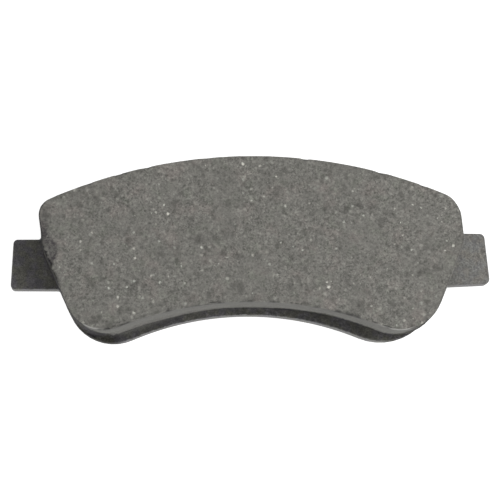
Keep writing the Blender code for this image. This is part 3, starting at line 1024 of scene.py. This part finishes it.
def build_shim():
    """The four layers of the shim, from the outer rubber up to the adhesive under the plate.

    Each row holds node, slot, colour, how far its brightness strays, roughness, features per
    millimetre and metallic.
    """
    layers = (
        ("shim_outer_rubber", "shim_outer_rubber_coat", (0.024, 0.024, 0.025), 0.25, 0.62, 1.4, 0.0),
        ("shim_steel_core", "shim_sheet_steel", (0.42, 0.43, 0.45), 0.18, 0.38, 1.2, 1.0),
        ("shim_inner_rubber", "shim_inner_rubber_coat", (0.028, 0.028, 0.028), 0.25, 0.66, 1.6, 0.0),
        ("shim_adhesive", "shim_adhesive_film", (0.11, 0.10, 0.075), 0.15, 0.5, 1.0, 0.0),
    )
    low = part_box(layers[0][0])[0].z
    for index, (node, slot, colour, spread, rough, scale, metal) in enumerate(layers):
        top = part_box(node)[1].z
        if index + 1 < len(layers):
            high = (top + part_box(layers[index + 1][0])[0].z) / 2
        else:
            high = top + LAYER_GAP
        material = make_layer_material(slot, colour, spread, rough, scale, metal)
        build_shim_layer(node, low, high - SEAM, material)
        low = high


# ---------------------------------------------------------------- studio


# The floor, in metres: radius of its flat part, radius of the bend and height of the rim.
FLOOR_FLAT, FLOOR_BEND, FLOOR_RIM = 1.1, 0.35, 0.5
FLOOR_SIDES = 96
FLOOR_GREY = (0.40, 0.40, 0.40, 1.0)
WHITE = (1.0, 1.0, 1.0, 1.0)
FLOOR_GLOW = 0.90
SKY_GLOW = 0.42
KEY_POWER = 4.0
FRONT_POWER = 2.0


def build_floor():
    """A pale round table top that curves up into a low wall, so that no horizon shows."""
    flat, bend, around = FLOOR_FLAT, FLOOR_BEND, FLOOR_SIDES
    profile = [(0.3, 0.0), (flat, 0.0)]
    profile += [
        (flat + bend * math.sin(a), bend * (1.0 - math.cos(a)))
        for a in np.linspace(0.0, math.pi / 2, 13)[1:]
    ]
    profile.append((flat + bend, FLOOR_RIM))
    turns = [2 * math.pi * i / around for i in range(around)]
    sunk = 0.02 * MM
    points = [(r * math.cos(t), r * math.sin(t), z - sunk) for r, z in profile for t in turns]
    faces = [tuple(range(around))]
    for level in range(len(profile) - 1):
        for i in range(around):
            j = (i + 1) % around
            a, b = level * around, (level + 1) * around
            faces.append((a + i, b + i, b + j, a + j))
    mesh = bpy.data.meshes.new("floor")
    mesh.from_pydata(points, [], faces)
    mesh.shade_smooth()
    floor = bpy.data.objects.new("floor", mesh)
    bpy.context.scene.collection.objects.link(floor)
    s = Shader("pale_table")
    s.bsdf.inputs["Emission Color"].default_value = WHITE
    s.bsdf.inputs["Emission Strength"].default_value = FLOOR_GLOW
    mesh.materials.append(s.finish(FLOOR_GREY, 0.9, specular=0.0))


def area_light(name, place, size, power):
    data = bpy.data.lights.new(name, "AREA")
    data.shape = "DISK"
    data.size = size
    data.energy = power
    light = bpy.data.objects.new(name, data)
    light.location = place
    light.rotation_euler = Vector(place).to_track_quat("Z", "Y").to_euler()
    bpy.context.scene.collection.objects.link(light)


def build_lights():
    """A soft key light low from the +X side, a weaker one from the front, and a white sky."""
    area_light("key", (0.55, 0.10, 0.62), 0.45, KEY_POWER)
    area_light("front", (0.10, -0.75, 0.40), 0.6, FRONT_POWER)
    world = bpy.data.worlds.new("studio")
    world.use_nodes = True
    background = world.node_tree.nodes["Background"]
    background.inputs["Color"].default_value = WHITE
    background.inputs["Strength"].default_value = SKY_GLOW
    bpy.context.scene.world = world
    bpy.context.scene.view_settings.view_transform = "Standard"


CAMERA_DISTANCE = 0.650
CAMERA_LEFT = math.radians(3.0)
CAMERA_LOW = math.radians(8.0)
CAMERA_ROLL = math.radians(0.6)
# How large the pad is drawn in the 500 pixel frame, at the point that the camera looks at.
PIXELS_PER_METRE = 3490.0
FRAME_PIXELS = 500.0
CAMERA_TARGET = Vector((0.0, 0.0, 0.009))


def build_camera():
    """Camera above the face, a little towards the hollow edge and the -X end, slightly rolled."""
    back = Vector((-math.sin(CAMERA_LEFT), -math.sin(CAMERA_LOW), 0.0))
    back.z = math.sqrt(1.0 - back.x**2 - back.y**2)
    up = (Vector((0, 1, 0)) - back.y * back).normalized()
    right = up.cross(back)
    turned_right = math.cos(CAMERA_ROLL) * right - math.sin(CAMERA_ROLL) * up
    turned_up = math.cos(CAMERA_ROLL) * up + math.sin(CAMERA_ROLL) * right
    half_pixel = 0.5 / PIXELS_PER_METRE
    target = CAMERA_TARGET - half_pixel * turned_up
    data = bpy.data.cameras.new("camera")
    data.sensor_width = 36.0
    data.lens = PIXELS_PER_METRE * CAMERA_DISTANCE / FRAME_PIXELS * data.sensor_width
    data.clip_start = 0.01
    camera = bpy.data.objects.new("camera", data)
    basis = Matrix((turned_right, turned_up, back)).transposed().to_4x4()
    camera.matrix_world = Matrix.Translation(target + CAMERA_DISTANCE * back) @ basis
    bpy.context.scene.collection.objects.link(camera)
    bpy.context.scene.camera = camera


build_block()
build_underlayer()
build_plate()
build_shim()
build_floor()
build_lights()
build_camera()
